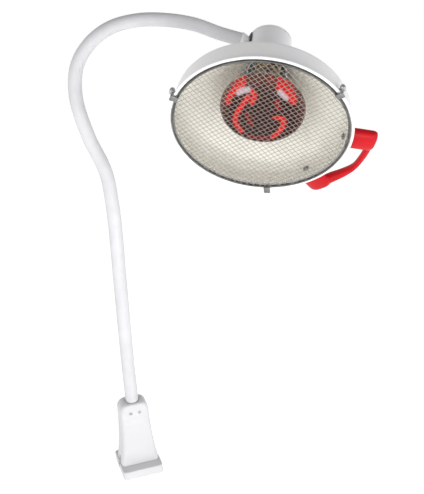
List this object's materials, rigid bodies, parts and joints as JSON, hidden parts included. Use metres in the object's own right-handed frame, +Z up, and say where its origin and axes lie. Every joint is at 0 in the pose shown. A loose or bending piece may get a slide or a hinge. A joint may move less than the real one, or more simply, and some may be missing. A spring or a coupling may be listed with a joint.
{
  "type": "heat lamp fixture",
  "caption": "Infrared heat lamp with a wide caged white shade and red bow handle on a flexible gooseneck arm that rises from a small screw-down base.",
  "frame": {"origin": "centre of the foot's flat underside", "axes": "+Z up along the lower arm, +X to the foot's right, +Y to the foot's back"},
  "size_m": [0.3931, 0.2376, 0.6957],
  "materials": {
    "white_paint": "satin powder coat",
    "white_sleeve": "matt smooth sleeve",
    "red_plastic": "satin moulded plastic",
    "steel": "plated",
    "grille_steel": "zinc plated wire",
    "latch_steel": "zinc plated",
    "aluminium": "satin spun",
    "brass": "satin",
    "ceramic": "glazed porcelain",
    "black_plastic": "moulded",
    "ruby_glass": "dark ruby glass",
    "clear_glass": "clear",
    "filament_metal": "drawn wire",
    "wire": "silicone insulation"
  },
  "bodies": {
    "base": {"base_foot": "white_paint", "base_housing": "white_paint", "arm_bush": "brass", "set_screw_left": "steel", "set_screw_right": "steel", "fixing_screw_left": "steel", "fixing_screw_right": "steel", "cord_gland": "black_plastic"},
    "arm_1": {"arm_spigot": "steel", "spigot_collar": "steel", "gooseneck_core_1": "steel", "gooseneck_sleeve_1": "white_sleeve"},
    "arm_2": {"gooseneck_core_2": "steel", "gooseneck_sleeve_2": "white_sleeve"},
    "arm_3": {"gooseneck_core_3": "steel", "gooseneck_sleeve_3": "white_sleeve"},
    "arm_4": {"gooseneck_core_4": "steel", "gooseneck_sleeve_4": "white_sleeve"},
    "arm_5": {"gooseneck_core_5": "steel", "gooseneck_sleeve_5": "white_sleeve"},
    "arm_6": {"gooseneck_core_6": "steel", "gooseneck_sleeve_6": "white_sleeve"},
    "head": {"gooseneck_core_7": "steel", "gooseneck_sleeve_7": "white_sleeve", "arm_ferrule": "white_paint", "lock_nut": "steel", "shade": "white_paint", "reflector": "aluminium", "rear_housing": "white_paint", "end_cap": "white_paint", "inlet_gasket": "black_plastic", "grille_ring": "grille_steel", "grille_mesh": "grille_steel", "handle": "red_plastic", "handle_screw_upper": "steel", "handle_screw_lower": "steel", "bulb_glass": "ruby_glass", "bulb_cap": "brass", "bulb_contact": "filament_metal", "bulb_stem": "clear_glass", "bulb_filament": "filament_metal", "lampholder_body": "ceramic", "lampholder_shell": "brass", "lampholder_contact": "brass", "holder_plate": "steel", "terminal_block": "black_plastic", "terminal_screw_1": "brass", "terminal_screw_2": "brass", "terminal_screw_3": "brass", "supply_wire_1": "wire", "supply_wire_2": "wire", "latch_boss_left": "latch_steel", "latch_boss_right": "latch_steel", "latch_boss_bottom": "latch_steel"},
    "latch_left": {"latch_knob_left": "latch_steel", "latch_lug_left": "latch_steel"},
    "latch_right": {"latch_knob_right": "latch_steel", "latch_lug_right": "latch_steel"},
    "latch_bottom": {"latch_knob_bottom": "latch_steel", "latch_lug_bottom": "latch_steel"}
  },
  "joints": [
    {"name": "arm_swivel", "type": "hinge", "parent": "base", "child": "arm_1", "pos_m": [0, 0, 0.1], "axis": [0, 0, 1], "range_deg": [-170, 170]},
    {"name": "bend_1", "type": "hinge", "parent": "arm_1", "child": "arm_2", "pos_m": [0.00007, -0.00002, 0.198], "axis": [0, 1, 0], "range_deg": [-25, 25]},
    {"name": "bend_2", "type": "hinge", "parent": "arm_2", "child": "arm_3", "pos_m": [0.00212, 0.00013, 0.32198], "axis": [1, 0, 0], "range_deg": [-25, 25]},
    {"name": "bend_3", "type": "hinge", "parent": "arm_3", "child": "arm_4", "pos_m": [0.00502, 0.00541, 0.44577], "axis": [0, 0.9917, -0.1287], "range_deg": [-25, 25]},
    {"name": "bend_4", "type": "hinge", "parent": "arm_4", "child": "arm_5", "pos_m": [-0.01414, 0.04309, 0.56093], "axis": [0.9817, 0.0733, 0.1759], "range_deg": [-25, 25]},
    {"name": "bend_5", "type": "hinge", "parent": "arm_5", "child": "arm_6", "pos_m": [0.01306, 0.08101, 0.66805], "axis": [-0.1364, 0.9851, -0.105], "range_deg": [-25, 25]},
    {"name": "bend_6", "type": "hinge", "parent": "arm_6", "child": "head", "pos_m": [0.13162, 0.09148, 0.67662], "axis": [0.2761, 0.0185, 0.961], "range_deg": [-25, 25]},
    {"name": "latch_left_turn", "type": "hinge", "parent": "head", "child": "latch_left", "pos_m": [0.09271, -0.03565, 0.62102], "axis": [0.3897, 0.8551, 0.342], "range_deg": [0, 90]},
    {"name": "latch_right_turn", "type": "hinge", "parent": "head", "child": "latch_right", "pos_m": [0.29885, -0.13123, 0.62512], "axis": [0.3897, 0.8551, 0.342], "range_deg": [0, 90]},
    {"name": "latch_bottom_turn", "type": "hinge", "parent": "head", "child": "latch_bottom", "pos_m": [0.22235, -0.02517, 0.44713], "axis": [0.3897, 0.8551, 0.342], "range_deg": [0, 90]}
  ]
}
